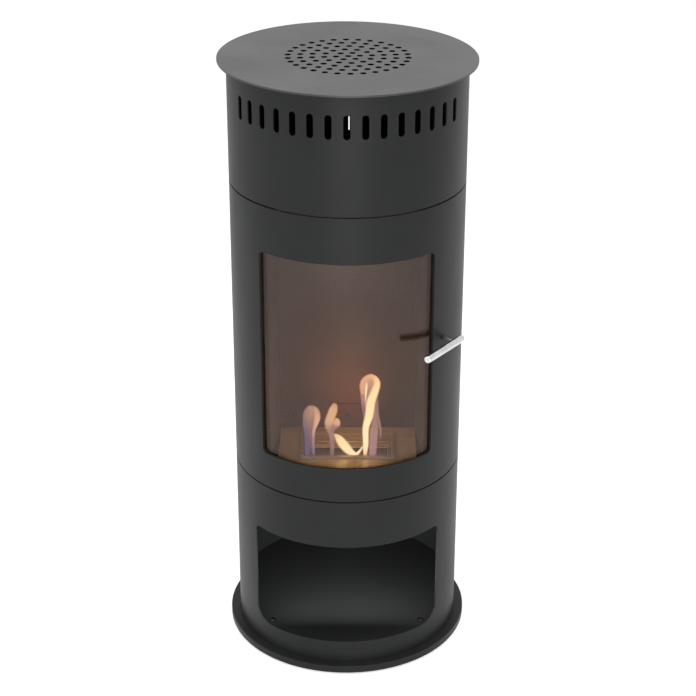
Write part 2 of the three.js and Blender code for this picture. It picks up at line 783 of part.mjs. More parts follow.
function makeUpperDrum() {
  return group(
    upperBottom,
    piece('upper_shell', makeUpperShell(), paint),
    piece('smoke_plate', makeSmokePlate(), paint),
    piece('lid_ring', makeLidRing(), paint, 0, 0, upperDrumHeight),
    piece('lid', makeLid(), lidPaint, 0, 0, upperDrumHeight + fit),
  );
}

// ---------------------------------------------------------------- assembly

const fireplace = group(
  0,
  makeBase(),
  makeLowerDrum(),
  piece('divider_plate', makeDivider(), paint, 0, 0, lowerTop),
  makeFirebox(),
  makeBurner(),
  makeDoor(),
  makeRearSection(),
  ...makeHingePins(),
  makeUpperDrum(),
);

export default fireplace;
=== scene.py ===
"""Looks of the round bioethanol fireplace: smooth sheet-metal shells, glass, burner, flames, materials,
floor, lights and camera. Pieces are drawn in millimetres and turned into metres when a mesh is made. Lights,
camera and the places named in materials are in metres. An azimuth is measured in degrees from the front (-Y)
towards the handle side (+X)."""

import math

import bmesh
import bpy
from mathutils import Matrix, Vector
from mathutils.geometry import tessellate_polygon


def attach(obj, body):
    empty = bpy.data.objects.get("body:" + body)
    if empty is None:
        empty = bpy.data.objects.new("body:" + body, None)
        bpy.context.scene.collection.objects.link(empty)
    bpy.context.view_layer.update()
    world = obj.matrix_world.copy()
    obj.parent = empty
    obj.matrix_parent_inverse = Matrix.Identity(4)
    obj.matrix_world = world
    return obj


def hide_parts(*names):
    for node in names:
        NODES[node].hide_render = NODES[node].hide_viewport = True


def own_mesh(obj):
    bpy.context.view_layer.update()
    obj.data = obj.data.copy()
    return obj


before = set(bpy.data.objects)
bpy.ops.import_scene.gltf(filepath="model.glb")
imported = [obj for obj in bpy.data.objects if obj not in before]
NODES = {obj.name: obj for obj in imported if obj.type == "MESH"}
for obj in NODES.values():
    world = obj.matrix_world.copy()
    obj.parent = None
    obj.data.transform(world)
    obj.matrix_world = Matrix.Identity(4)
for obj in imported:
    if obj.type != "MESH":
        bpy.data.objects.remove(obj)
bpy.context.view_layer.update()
MM = 0.001

# ------------------------------------------------------------------ sizes, the same as in the part's source

FIT = 0.3                # gap between pieces that touch
SKIN = 2.0               # sheet of the body
BODY_R = 187.0
INNER_R = BODY_R - SKIN
PLATE_R = INNER_R - FIT
COLLAR_R = PLATE_R - SKIN
BASE_R = 202.5
LID_R = 201.0

BASE_Z = (2.3, 15.0)
LOWER_Z = (15.3, 318.8)
DOOR_Z = (321.2, 805.8)
UPPER_Z = (808.2, 996.7)
LID_Z = (997.0, 1000.0)


def arc(length):
    """Degrees that a length takes up on the outer face of the body."""
    return math.degrees(length / BODY_R)


PAD_COUNT = 4
DRUM_HALF = 180 - arc(1.0)      # half of a drum: its butt joint at the back is 2 mm wide
SHELF_HALF = 53.4
SHELF_Z = (54.0, 236.0)
SHELF_CORNERS = (25, 8)         # bottom and top corners of the shelf opening
COLLAR_HEIGHT = 20
SHELF_SCREW_AZIMUTH = 45.5
SHELF_SCREW_INSET = 8
SHELF_SCREW_LENGTH = 12

SLOT_COUNT = 15
SLOT_PITCH = 8.45
SLOT_WIDTH = 10.5
SLOT_Z = (928.2, 965.7)
HOLE_R = 5
HOLE_RINGS = 5
HOLES_IN_FIRST_RING = 6         # each further ring has as many more
HOLE_PITCH = 18.5
HOLE_TURN = 8.6                 # degrees, the lid lies turned a little
LID_RING_WIDTH = 16
LID_RING_THICKNESS = 3

DOOR_HALF = 85.0
REAR_FROM = 85.9
FOLD_DEPTH = 10
FOLD_MARGIN = 8
FOLD_ROOT = 0.5                 # how far the fold runs into the skin, so that both read as one sheet
WINDOW_HALF = 46.2
WINDOW_Z = (381.2, 731.0)
WINDOW_CORNER = 8.0
SEAL_THICKNESS = 2.0
SEAL_WIDTH = 9
GLASS_THICKNESS = 4.0
GLASS_LAP = 13.0                # glass past the edge of the window
CLAMP_THICKNESS = 2.0
CLAMP_LAP = 8                   # how far a strip reaches over the glass
CLAMP_FOOT = 5                  # how far it stands past the edge of the glass
CLAMP_END_GAP = 1

GLASS_R = PLATE_R - SEAL_THICKNESS - FIT
CLAMP_R = GLASS_R - GLASS_THICKNESS - FIT
CLAMP_IN = CLAMP_R - CLAMP_THICKNESS
GLASS_HALF = WINDOW_HALF + arc(GLASS_LAP)
GLASS_Z = (WINDOW_Z[0] - GLASS_LAP, WINDOW_Z[1] + GLASS_LAP)

HANDLE_AZIMUTH = 54.5
HANDLE_Z = 576.7
HANDLE_R = 6
HANDLE_STANDOFF = 25
HANDLE_ENDS = (-85, 15)         # the two ends of the bar, from its post
HANDLE_DOME = 2.0
POST_R = 4.0

TRAY_Z = LOWER_Z[1] + FIT
TRAY_HEIGHT = 6
FIREBOX_BACK = 62
PANEL_SCREW_ABOVE_TRAY = 20
PANEL_SCREW_LENGTH = 7

# ------------------------------------------------------------------ fineness of the meshes

COLUMN = 2.0                    # degrees between two columns of a curved surface
LATHE_SIDES = 180
HOLE_SIDES = 24
SCREW_SIDES = 24
BAR_SIDES = 48
POST_SIDES = 32
FLAME_SIDES = 18

ROUNDED_FROM = 40.0             # degrees between two faces from which their edge is rounded
LID_EDGE = 0.12                 # widths to which sharp edges are rounded
SKIN_EDGE = 0.25
FINE_EDGE = 0.3
RIM_EDGE = 0.4
BURNER_EDGE = 0.5
GLASS_EDGE = 0.6                # the glass and its seal
BASE_EDGE = 1.0


# ------------------------------------------------------------------ mesh helpers

def polar(azimuth, radius):
    a = math.radians(azimuth)
    return radius * math.sin(a), -radius * math.cos(a)


def rounded(width, z0, z1, low, high, steps=8):
    """Outline of a rectangle centred on x = 0, as (x, z), with its corners rounded to low and high."""
    w, points = width / 2, []
    corners = ((w - low, z0 + low, low, -90), (w - high, z1 - high, high, 0),
               (high - w, z1 - high, high, 90), (low - w, z0 + low, low, 180))
    for x, z, r, start in corners:
        for i in range(steps + 1):
            a = math.radians(start + 90 * i / steps)
            points.append((x + r * math.cos(a), z + r * math.sin(a)))
    return points


def wrapped(points, azimuth=0.0):
    """Turns an outline drawn flat in front of the drum into azimuths on the drum."""
    return [(azimuth + math.degrees(math.asin(x / BODY_R)), z) for x, z in points]


def band(start, end, z0, z1):
    """Outline of a rectangle on the drum, as (azimuth, z)."""
    return [(start, z0), (end, z0), (end, z1), (start, z1)]


def densified(loop):
    """Adds a point wherever an edge of the loop crosses a column line."""
    result = []
    for (a0, z0), (a1, z1) in zip(loop, loop[1:] + loop[:1]):
        result.append((a0, z0))
        lo, hi = min(a0, a1), max(a0, a1)
        marks = [k * COLUMN for k in range(math.ceil(lo / COLUMN), math.floor(hi / COLUMN) + 1)]
        marks = [m for m in marks if lo + 1e-4 < m < hi - 1e-4]
        if a1 < a0:
            marks.reverse()
        result += [(m, z0 + (z1 - z0) * (m - a0) / (a1 - a0)) for m in marks]
    clean = []
    for p in result:
        if not clean or math.dist(p, clean[-1]) > 1e-5:
            clean.append(p)
    return clean if math.dist(clean[0], clean[-1]) > 1e-5 else clean[:-1]


def filled(loops):
    """A flat bmesh in (first, second) coordinates from an outline and its holes."""
    bm = bmesh.new()
    loops = [[Vector((p[0], p[1], 0.0)) for p in loop] for loop in loops]
    verts = [bm.verts.new(p) for loop in loops for p in loop]
    for tri in tessellate_polygon(loops):
        if len(set(tri)) == 3:
            bm.faces.new([verts[i] for i in tri])
    bmesh.ops.recalc_face_normals(bm, faces=bm.faces)
    if bm.faces and sum(f.normal.z * f.calc_area() for f in bm.faces) < 0:
        bmesh.ops.reverse_faces(bm, faces=bm.faces)
    return bm


def thickened(bm, moved):
    """Closes a sheet: every vertex gets a twin at moved(vertex), and the rims get walls."""
    faces = list(bm.faces)
    twin = {v: bm.verts.new(moved(v.co)) for v in list(bm.verts)}
    rims = [(e, e.link_loops[0]) for e in bm.edges if len(e.link_loops) == 1]
    walls = [(loop.vert, loop.link_loop_next.vert) for _, loop in rims]
    for f in faces:
        bm.faces.new([twin[v] for v in reversed(f.verts)])
    for a, b in walls:
        bm.faces.new((b, a, twin[a], twin[b]))


def is_sharp(edge, limit):
    """Whether the two faces of an edge meet at more than limit degrees."""
    return len(edge.link_faces) == 2 and edge.calc_face_angle(0) > math.radians(limit)


def softened(bm, width):
    """Rounds every sharp edge by width, and marks the new narrow faces for the materials."""
    mark = bm.faces.layers.float.get("edge") or bm.faces.layers.float.new("edge")
    edges = [e for e in bm.edges if is_sharp(e, ROUNDED_FROM)]
    result = bmesh.ops.bevel(bm, geom=edges, offset=width, segments=2, profile=0.5,
                             affect="EDGES", clamp_overlap=True)
    for f in result["faces"]:
        f[mark] = 1.0


def finished(bm, name, radial=False, limit=50.0):
    """Turns a bmesh in millimetres into an object in metres, smooth apart from its sharp edges."""
    bmesh.ops.remove_doubles(bm, verts=bm.verts, dist=1e-4)
    bmesh.ops.dissolve_degenerate(bm, edges=bm.edges, dist=1e-4)
    for f in bm.faces:
        f.smooth = True
    for e in bm.edges:
        e.smooth = not is_sharp(e, limit)
    mesh = bpy.data.meshes.new(name)
    bm.to_mesh(mesh)
    bm.free()
    mesh.transform(Matrix.Scale(MM, 4))
    settle_normals(mesh, radial)
    obj = bpy.data.objects.new(name, mesh)
    bpy.context.scene.collection.objects.link(obj)
    return obj


def settle_normals(mesh, radial):
    """Gives flat and rolled faces their true normals, so that the rounded edges beside them don't tint
    them."""
    mesh.update()
    mark = mesh.attributes.get("edge")
    corner = [n.vector.copy() for n in mesh.corner_normals]
    for poly in mesh.polygons:
        if mark and mark.data[poly.index].value > 0.5:
            continue
        n = poly.normal
        for li in poly.loop_indices:
            co = mesh.vertices[mesh.loops[li].vertex_index].co
            out = Vector((co.x, co.y, 0.0)).normalized()
            if radial and abs(n.z) < 0.01 and abs(n.dot(out)) > 0.99:
                corner[li] = out * math.copysign(1.0, n.dot(out))
            elif abs(n.z) > 0.999 or not radial:
                corner[li] = n.copy()
    mesh.normals_split_custom_set(corner)


def bent_sheet(name, loops, outer, thickness, soft):
    """A sheet rolled to a radius, from an outline and holes in (azimuth, z)."""
    loops = [densified(loop) for loop in loops]
    bm = filled(loops)
    azimuths = [p[0] for p in loops[0]]
    first = math.ceil(min(azimuths) / COLUMN)
    for k in range(first, math.floor(max(azimuths) / COLUMN) + 1):
        geom = list(bm.verts) + list(bm.edges) + list(bm.faces)
        bmesh.ops.bisect_plane(bm, geom=geom, dist=1e-6, plane_co=(k * COLUMN, 0, 0), plane_no=(1, 0, 0))
    for v in bm.verts:
        azimuth, z = v.co.x, v.co.y
        x, y = polar(azimuth, outer)
        v.co = (x, y, z)

    def inward(co):
        scale = (outer - thickness) / outer
        return Vector((co.x * scale, co.y * scale, co.z))

    thickened(bm, inward)
    softened(bm, soft)
    return finished(bm, name, radial=True)


def bridged(bm, rings, sides):
    """Joins each ring to the next with faces. A ring is a circle of vertices, or one vertex on the axis."""
    for low, high in zip(rings, rings[1:]):
        for i in range(sides):
            j = (i + 1) % sides
            quad = [low[i % len(low)], low[j % len(low)], high[j % len(high)], high[i % len(high)]]
            corners = list(dict.fromkeys(quad))
            if len(corners) > 2:
                bm.faces.new(corners)


def spun(profile, sides, place):
    """A round body from a profile of (radius, along). place(radius, along, angle) gives each vertex."""
    bm = bmesh.new()
    rings = []
    for radius, along in profile:
        count = sides if radius > 0 else 1
        rings.append([bm.verts.new(place(radius, along, 2 * math.pi * i / count)) for i in range(count)])
    bridged(bm, rings, sides)
    bmesh.ops.recalc_face_normals(bm, faces=bm.faces)
    return bm


def turned(name, profile, soft):
    """A round piece from a profile of (radius, z). It starts and ends on the axis, or closes on itself."""
    bm = bmesh.new()
    rings = []
    for r, z in profile:
        count = LATHE_SIDES if r > 0 else 1
        rings.append([bm.verts.new((*polar(360 * i / count, r), z)) for i in range(count)])
    bridged(bm, rings, LATHE_SIDES)
    bmesh.ops.remove_doubles(bm, verts=bm.verts, dist=1e-4)
    bmesh.ops.recalc_face_normals(bm, faces=bm.faces)
    softened(bm, soft)
    return finished(bm, name, radial=True)


def plate(name, loops, z0, z1, soft):
    """A flat plate from an outline and its holes in (x, y)."""
    bm = filled(loops)
    for v in bm.verts:
        v.co.z = z1
    thickened(bm, lambda co: Vector((co.x, co.y, z0)))
    softened(bm, soft)
    return finished(bm, name)


def circle(radius, sides, x=0.0, y=0.0, turn=0.0):
    return [(x + radius * math.cos(turn + 2 * math.pi * i / sides),
             y + radius * math.sin(turn + 2 * math.pi * i / sides)) for i in range(sides)]


def rotated(bm, azimuth):
    """Turns a piece that was drawn at the front to its azimuth."""
    matrix = Matrix.Rotation(math.radians(azimuth), 3, "Z")
    bmesh.ops.rotate(bm, verts=bm.verts, cent=(0, 0, 0), matrix=matrix)
    return bm


def softened_copy(name, node, soft):
    """The CAD solid of a node with its edges rounded."""
    bm = bmesh.new()
    bm.from_mesh(NODES[node].data)
    bmesh.ops.scale(bm, verts=bm.verts, vec=(1 / MM,) * 3)
    bmesh.ops.remove_doubles(bm, verts=bm.verts, dist=1e-3)
    bmesh.ops.dissolve_limit(bm, angle_limit=math.radians(1), verts=bm.verts, edges=bm.edges)
    softened(bm, soft)
    return finished(bm, name)


def joined(name, *objects):
    """Puts the meshes of several new objects into the first one."""
    first = objects[0]
    for obj in objects:
        obj.select_set(True)
    with bpy.context.temp_override(active_object=first, selected_editable_objects=list(objects)):
        bpy.ops.object.join()
    first.name = first.data.name = name
    return first


def dress(piece, material, slot, body, *replaced):
    """Gives a new piece its material and the body that it rides on, and hides the nodes that it replaces.
    slot is not used.
    """
    piece.data.materials.clear()
    piece.data.materials.append(material)
    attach(piece, body)
    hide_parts(*replaced)
    return piece


def repaint(node, material):
    """Gives a CAD node that stays a finer material."""
    NODES[node].data.materials.clear()
    NODES[node].data.materials.append(material)


# ------------------------------------------------------------------ material helpers

class Shader:
    """A small builder for node materials."""

    def __init__(self, name):
        self.material = bpy.data.materials.new(name)
        self.material.use_nodes = True
        self.tree = self.material.node_tree
        self.tree.nodes.clear()
        self.out = self.add("ShaderNodeOutputMaterial")
        self.position = self.add("ShaderNodeTexCoord").outputs["Object"]

    def add(self, kind, **values):
        node = self.tree.nodes.new(kind)
        for key, value in values.items():
            setattr(node, key, value)
        return node

    def link(self, source, target):
        """Sets a socket to a number or colour, or links another node's output to it."""
        if isinstance(source, (int, float)):
            target.default_value = source
        elif isinstance(source, tuple):
            needs_alpha = len(source) == 3 and len(target.default_value) == 4
            target.default_value = (*source, 1) if needs_alpha else source
        else:
            self.tree.links.new(source, target)

    def stretched(self, scale):
        mapping = self.add("ShaderNodeMapping")
        mapping.inputs["Scale"].default_value = scale
        self.link(self.position, mapping.inputs["Vector"])
        return mapping.outputs[0]

    def noise(self, scale, detail=2.0, roughness=0.5, stretch=None, distortion=0.0):
        node = self.add("ShaderNodeTexNoise")
        node.inputs["Scale"].default_value = scale
        node.inputs["Detail"].default_value = detail
        node.inputs["Roughness"].default_value = roughness
        node.inputs["Distortion"].default_value = distortion
        self.link(self.stretched(stretch) if stretch else self.position, node.inputs["Vector"])
        return node.outputs["Fac"]

    def ramp(self, value, *stops):
        node = self.add("ShaderNodeValToRGB")
        elements = node.color_ramp.elements
        while len(elements) < len(stops):
            elements.new(0.5)
        for element, (at, colour) in zip(elements, stops):
            element.position = at
            element.color = (colour, colour, colour, 1) if isinstance(colour, float) else (*colour, 1)
        self.link(value, node.inputs["Fac"])
        return node.outputs["Color"]

    def maths(self, operation, a, b):
        node = self.add("ShaderNodeMath", operation=operation)
        self.link(a, node.inputs[0])
        self.link(b, node.inputs[1])
        return node.outputs[0]

    def vector_maths(self, operation, a, b, output="Vector"):
        node = self.add("ShaderNodeVectorMath", operation=operation)
        self.link(a, node.inputs[0])
        self.link(b, node.inputs[1])
        return node.outputs[output]

    def mix(self, amount, a, b, blend="MIX"):
        node = self.add("ShaderNodeMix", data_type="RGBA", blend_type=blend)
        self.link(amount, node.inputs["Factor"])
        self.link(a, node.inputs["A"])
        self.link(b, node.inputs["B"])
        return node.outputs["Result"]

    def bump(self, height, strength, distance):
        node = self.add("ShaderNodeBump")
        node.inputs["Strength"].default_value = strength
        node.inputs["Distance"].default_value = distance
        self.link(height, node.inputs["Height"])
        return node.outputs["Normal"]

    def value(self, name):
        """A number that the mesh carries under this name."""
        return self.add("ShaderNodeAttribute", attribute_name=name).outputs["Fac"]

    def principled(self, colour, roughness, metallic=0.0, normal=None, **sockets):
        bsdf = self.add("ShaderNodeBsdfPrincipled")
        self.link(colour, bsdf.inputs["Base Color"])
        self.link(roughness, bsdf.inputs["Roughness"])
        bsdf.inputs["Metallic"].default_value = metallic
        if normal is not None:
            self.link(normal, bsdf.inputs["Normal"])
        for key, value in sockets.items():
            bsdf.inputs[key.replace("_", " ")].default_value = value
        self.link(bsdf.outputs[0], self.out.inputs["Surface"])
        return bsdf


def painted(name, colour, roughness, gloss=0.5, wear=0.35):
    """Satin heat-resistant paint: fine texture, faint cloudy patches, paler along the edges by wear."""
    s = Shader(name)
    dark = tuple(0.88 * c for c in colour)
    light = tuple(1.1 * c for c in colour)
    cloud = s.ramp(s.noise(5, 4, 0.6), (0.3, dark), (0.7, light))
    speck = s.ramp(s.noise(2600, 1), (0.42, (0.92, 0.92, 0.92)), (0.6, (1.06, 1.06, 1.06)))
    base = s.mix(1.0, cloud, speck, "MULTIPLY")
    worn = s.maths("MULTIPLY", s.value("edge"), s.ramp(s.noise(60, 3), (0.35, 0.1 * wear), (0.65, wear)))
    base = s.mix(worn, base, tuple(min(1.0, 2.2 * c + 0.02) for c in colour))
    handled = s.noise(9, 3, 0.55, stretch=(1, 1, 0.35))
    smudge = s.ramp(handled, (0.3, roughness - 0.05), (0.7, roughness + 0.05))
    grain = s.maths("ADD", s.noise(1500, 2), s.maths("MULTIPLY", s.noise(340, 2), 0.6))
    s.principled(base, smudge, 0.0, s.bump(grain, 0.12, 0.0002), Specular_IOR_Level=gloss)
    return s.material


def brushed(name, colour, roughness, stretch=(6, 900, 900), metallic=1.0, tint=None, shine=0.0):
    """Rolled steel with fine drawn lines and patches of a tint. Its edges are brighter by shine."""
    s = Shader(name)
    lines = s.noise(1.0, 4, 0.6, stretch=stretch)
    dark = tuple(0.8 * c for c in colour)
    base = s.ramp(lines, (0.3, dark), (0.7, colour))
    patch = s.ramp(s.noise(22, 3, 0.6), (0.35, (0.85, 0.84, 0.83)), (0.65, (1.0, 1.0, 1.0)))
    base = s.mix(1.0, base, patch, "MULTIPLY")
    if tint:
        base = s.mix(s.ramp(s.noise(14, 3), (0.4, 0.0), (0.7, 0.6)), base, tint)
    if shine:
        base = s.mix(s.maths("MULTIPLY", s.value("edge"), shine), base, (0.95, 0.92, 0.88))
    rough = s.ramp(lines, (0.3, roughness), (0.7, roughness + 0.12))
    bsdf = s.principled(base, rough, metallic, s.bump(lines, 0.15, 0.0001))
    if shine:
        s.link(s.maths("MAXIMUM", s.value("edge"), metallic), bsdf.inputs["Metallic"])
    return s.material


# ------------------------------------------------------------------ materials

PAINT = painted("paint_anthracite", (0.0205, 0.0215, 0.0212), 0.44, 0.155, wear=0.12)
# painted shade: near-black, matt paint on the walls of the lid's holes, in place of the shade inside them
HOLE_SHADE_PAINT = painted("paint_in_holes_painted_shade", (0.003, 0.003, 0.003), 0.85, 0.01, wear=0.0)
# painted light: a paler copy of the body's paint, which stands in for the top light that the lid catches
LIT_LID_PAINT = painted("paint_lid_painted_light", (0.0365, 0.0375, 0.0368), 0.42)
# painted shade: near-black, matt paint on the plates behind the seams, the shelf roof and the lid's seat, in
# place of the shade in those gaps and recesses
INSIDE_SHADE_PAINT = painted("paint_inside_painted_shade", (0.008, 0.008, 0.008), 0.6, 0.1, wear=0.1)

GLOW_AND_HEAT_CENTRE = (0.0, 0.06, 0.41)             # the place on the lining that the flames brown most, and where their painted glow is brightest
GLOW_AND_HEAT_REACH = (1 / 0.14, 1 / 0.2, 1 / 0.24)  # one over how far the browning and the painted glow reach along x, y and z


def lining_material():
    """Firebox sheet: dark heat-resistant paint that the flames have browned, with their glow painted on it as
    an orange patch, most of all above the burner.
    """
    s = Shader("lining_heat_tint_and_painted_glow")
    offset = s.vector_maths("SUBTRACT", s.position, GLOW_AND_HEAT_CENTRE)
    spread = s.vector_maths("MULTIPLY", offset, GLOW_AND_HEAT_REACH)
    reach = s.vector_maths("LENGTH", spread, (0.0, 0.0, 0.0), "Value")
    uneven = s.maths("MULTIPLY", s.noise(9, 3, 0.55), 0.3)
    glow_and_heat = s.maths("SUBTRACT", 1.15, s.maths("ADD", reach, uneven))
    # the hottest stop is browning with the flames' glow painted on top of it: painted light
    cold, warm, hot_and_lit = (0.044, 0.037, 0.031), (0.045, 0.015, 0.007), (0.115, 0.043, 0.006)
    base = s.ramp(glow_and_heat, (0.0, cold), (0.4, warm), (0.85, hot_and_lit))
    smear = s.noise(1.0, 3, 0.55, stretch=(26, 26, 5))
    smear = s.ramp(smear, (0.35, (0.94, 0.94, 0.95)), (0.65, (1.04, 1.03, 1.02)))
    base = s.mix(1.0, base, smear, "MULTIPLY")
    rough = s.ramp(s.noise(11, 3), (0.3, 0.5), (0.7, 0.62))
    s.principled(base, rough, 0.0, s.bump(s.noise(60, 3), 0.1, 0.0005), Specular_IOR_Level=0.25)
    return s.material


EVEN = (60, 60, 60)                     # a stretch that draws no lines
LINING = lining_material()
STEEL = brushed("burner_steel", (0.42, 0.34, 0.13), 0.25, metallic=0.3, tint=(0.36, 0.28, 0.11), shine=1.0)
POLISHED = brushed("slide_steel", (0.46, 0.37, 0.17), 0.2, metallic=0.4, tint=(0.38, 0.29, 0.13), shine=1.0)
GRILLE = brushed("grille_steel", (0.26, 0.19, 0.2), 0.3, metallic=0.3, tint=(0.13, 0.09, 0.12), shine=0.5)
CHROME = brushed("handle_chrome", (0.72, 0.72, 0.73), 0.05, stretch=(40, 40, 40))
SATIN = brushed("post_steel", (0.3, 0.3, 0.31), 0.3, stretch=EVEN)
ZINC = brushed("zinc_plated", (0.36, 0.37, 0.39), 0.38, stretch=EVEN, tint=(0.5, 0.46, 0.3))
TARNISHED = brushed("zinc_tarnished", (0.055, 0.048, 0.042), 0.5, stretch=EVEN, tint=(0.07, 0.05, 0.035))
BRASS = brushed("hinge_brass", (0.55, 0.38, 0.14), 0.25, stretch=(80, 80, 900))
FERRITE = painted("catch_ferrite", (0.03, 0.03, 0.034), 0.6)
TRAY = brushed("tray_steel", (0.56, 0.48, 0.18), 0.16, (8, 300, 300), 0.3, (0.5, 0.42, 0.15), 0.5)


def rubber_material():
    s = Shader("pad_rubber")
    base = s.ramp(s.noise(40, 3), (0.3, (0.012, 0.012, 0.012)), (0.7, (0.022, 0.022, 0.021)))
    rough = s.ramp(s.noise(25, 2), (0.3, 0.7), (0.7, 0.85))
    s.principled(base, rough, 0.0, s.bump(s.noise(900, 2), 0.3, 0.0003))
    return s.material


def rope_material():
    """Woven glass-fibre rope, blackened: slanted strands over and under."""
    s = Shader("seal_rope")
    wave = s.add("ShaderNodeTexWave", wave_type="BANDS", bands_direction="DIAGONAL")
    wave.inputs["Scale"].default_value = 160
    wave.inputs["Distortion"].default_value = 1.5
    s.link(s.position, wave.inputs["Vector"])
    weave = wave.outputs["Fac"]
    base = s.ramp(weave, (0.2, (0.003, 0.003, 0.003)), (0.8, (0.011, 0.01, 0.01)))
    s.principled(base, 0.9, 0.0, s.bump(weave, 0.8, 0.0006))
    return s.material


def wool_material():
    """Ceramic fibre, scorched in patches."""
    s = Shader("ceramic_wool")
    fibre = s.noise(1.0, 6, 0.7, stretch=(180, 500, 260), distortion=1.2)
    base = s.ramp(fibre, (0.3, (0.42, 0.37, 0.3)), (0.7, (0.72, 0.68, 0.6)))
    scorched = s.ramp(s.noise(45, 3), (0.45, 0.0), (0.7, 0.5))
    s.principled(s.mix(scorched, base, (0.12, 0.08, 0.05)), 0.95, 0.0, s.bump(fibre, 0.7, 0.001))
    return s.material


GLASS_SHEEN = 0.034      # share of light that one face of the glass mirrors, seen square on


def glass_material():
    """Lightly smoked ceramic glass: it mirrors the room and dims what is behind it."""
    s = Shader("smoked_glass")
    haze = s.ramp(s.noise(16, 4, 0.6), (0.35, (0.80, 0.765, 0.74)), (0.7, (0.83, 0.80, 0.775)))
    clear = s.add("ShaderNodeBsdfTransparent")
    s.link(haze, clear.inputs["Color"])
    mirror = s.add("ShaderNodeBsdfGlossy")
    s.link((1.0, 0.8, 0.73), mirror.inputs["Color"])
    s.link(s.ramp(s.noise(30, 3), (0.3, 0.0), (0.7, 0.015)), mirror.inputs["Roughness"])
    facing = s.add("ShaderNodeLayerWeight").outputs["Facing"]
    grazing = s.maths("MULTIPLY", s.maths("POWER", facing, 5.0), 1.0 - GLASS_SHEEN)
    both = s.add("ShaderNodeMixShader")
    s.link(s.maths("ADD", grazing, GLASS_SHEEN), both.inputs[0])
    s.link(clear.outputs[0], both.inputs[1])
    s.link(mirror.outputs[0], both.inputs[2])
    s.link(both.outputs[0], s.out.inputs["Surface"])
    return s.material


RUBBER = rubber_material()
ROPE = rope_material()
WOOL = wool_material()
GLASS = glass_material()

# ------------------------------------------------------------------ base, lower drum and wood shelf


def drum(name, z0, z1, holes):
    return bent_sheet(name, [band(-DRUM_HALF, DRUM_HALF, z0, z1), *holes], BODY_R, SKIN, SKIN_EDGE)


def rim_plate(name, z, rim):
    """A round plate with a folded rim. z is its face away from the fold, and rim is negative if it goes
    down."""
    step = math.copysign(SKIN, rim)
    return turned(name, [(0, z), (PLATE_R, z), (PLATE_R, z + rim), (COLLAR_R, z + rim),
                         (COLLAR_R, z + step), (0, z + step)], RIM_EDGE)


def curved_opening(half_angle, z0, z1, low, high):
    """Outline of a rounded opening at the front of a drum."""
    width = 2 * BODY_R * math.sin(math.radians(half_angle))
    return wrapped(rounded(width, z0, z1, low, high))


def screw_piece(name, at, direction, length):
    """A pan-head screw with a six-sided socket. at is the middle of the underside of its head."""
    head, height, shank = 5.0, 3.0, 2.5
    socket, depth = 1.6, 1.8
    profile = [(0, -length), (shank, -length), (shank, 0), (head, 0), (head, 1.0), (head - 0.6, 2.1),
               (head - 2.0, 2.8), (socket + 0.4, height), (socket, height - 0.2), (socket, height - depth),
               (0, height - depth)]

    def place(r, z, angle):
        if r == socket:
            r /= math.cos(angle % (math.pi / 3) - math.pi / 6)
        return r * math.cos(angle), r * math.sin(angle), z

    bm = spun(profile, SCREW_SIDES, place)
    turn = Vector((0, 0, 1)).rotation_difference(Vector(direction)).to_matrix().to_4x4()
    bmesh.ops.transform(bm, matrix=Matrix.Translation(at) @ turn, verts=bm.verts)
    return finished(bm, name, limit=30)


def make_base():
    profile = [(0, BASE_Z[0]), (BASE_R, BASE_Z[0]), (BASE_R, BASE_Z[1]), (0, BASE_Z[1])]
    dress(turned("base", profile, BASE_EDGE), PAINT, "paint", "column", "base_plate")
    for i in range(PAD_COUNT):
        repaint(f"floor_pad_{i + 1}", RUBBER)


def make_lower_drum():
    opening = curved_opening(SHELF_HALF, *SHELF_Z, *SHELF_CORNERS)
    dress(drum("lower_drum", *LOWER_Z, [opening]), PAINT, "paint", "column", "lower_shell")
    floor = SHELF_Z[0] - FIT
    dress(rim_plate("wood_shelf", floor, LOWER_Z[0] - floor), PAINT, "paint", "column", "shelf_floor")
    dress(rim_plate("shelf_roof", SHELF_Z[1] + FIT, COLLAR_HEIGHT),
          INSIDE_SHADE_PAINT, "paint", "column", "shelf_ceiling")
    for side, sign in (("left", -1), ("right", 1)):
        x, y = polar(sign * SHELF_SCREW_AZIMUTH, COLLAR_R - SHELF_SCREW_INSET)
        screw = screw_piece(f"shelf_screw_head_{side}", (x, y, SHELF_Z[0]), (0, 0, 1), SHELF_SCREW_LENGTH)
        dress(screw, TARNISHED, "zinc", "column", f"shelf_screw_{side}")


make_base()
make_lower_drum()

# ------------------------------------------------------------------ upper drum and lid


def make_upper_drum():
    slot = rounded(SLOT_WIDTH, *SLOT_Z, SLOT_WIDTH / 2, SLOT_WIDTH / 2, 6)
    slots = [wrapped(slot, (i - SLOT_COUNT // 2) * SLOT_PITCH) for i in range(SLOT_COUNT)]
    dress(drum("upper_drum", *UPPER_Z, slots), PAINT, "paint", "column", "upper_shell")


def make_lid():
    """A plate with rings of holes, whose walls get a near-black, matt paint: painted shade inside the holes.
    """
    holes = [circle(HOLE_R, HOLE_SIDES)]
    for ring in range(1, HOLE_RINGS + 1):
        middles = circle(HOLE_PITCH * ring, HOLES_IN_FIRST_RING * ring, turn=math.radians(HOLE_TURN))
        holes += [circle(HOLE_R, HOLE_SIDES, x, y) for x, y in middles]
    lid = plate("perforated_lid", [circle(LID_R, LATHE_SIDES), *holes], *LID_Z, LID_EDGE)
    dress(lid, LIT_LID_PAINT, "lid_paint", "column", "lid")
    lid.data.materials.append(HOLE_SHADE_PAINT)
    pattern_radius = (HOLE_PITCH * HOLE_RINGS + 2 * HOLE_R) * MM
    for poly in lid.data.polygons:
        in_pattern = math.hypot(poly.center.x, poly.center.y) < pattern_radius
        if in_pattern and abs(poly.normal.z) < 0.9:
            poly.material_index = 1


